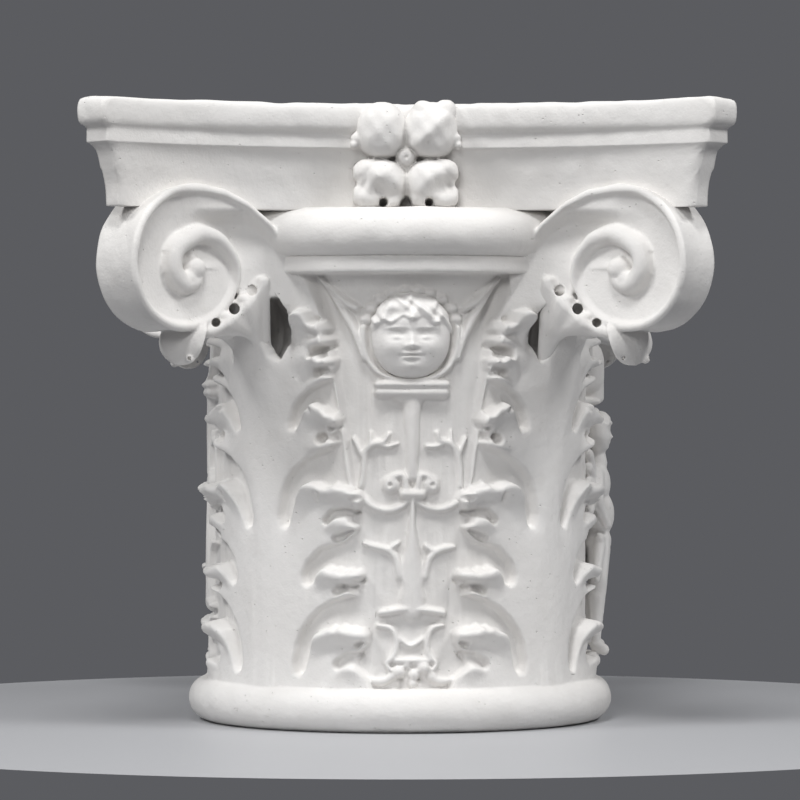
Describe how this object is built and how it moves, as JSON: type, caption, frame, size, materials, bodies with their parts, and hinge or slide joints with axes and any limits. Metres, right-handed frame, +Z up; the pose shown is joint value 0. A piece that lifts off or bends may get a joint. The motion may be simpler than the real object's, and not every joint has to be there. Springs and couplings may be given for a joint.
{
  "type": "column capital",
  "caption": "Plaster column capital: round base roll, drum with corner leaves and carved panels, corner volutes under a hollow-sided abacus with side flowers.",
  "frame": {"origin": "middle of the round underside, where the capital sits on its column", "axes": "+Z up along the column's axis, -Y out of the front face with the child's head, +X out of the face with the standing child"},
  "size_m": [0.462, 0.4623, 0.45],
  "materials": {
    "plaster": "matte"
  },
  "bodies": {
    "root": {"capital": "plaster"}
  },
  "joints": []
}
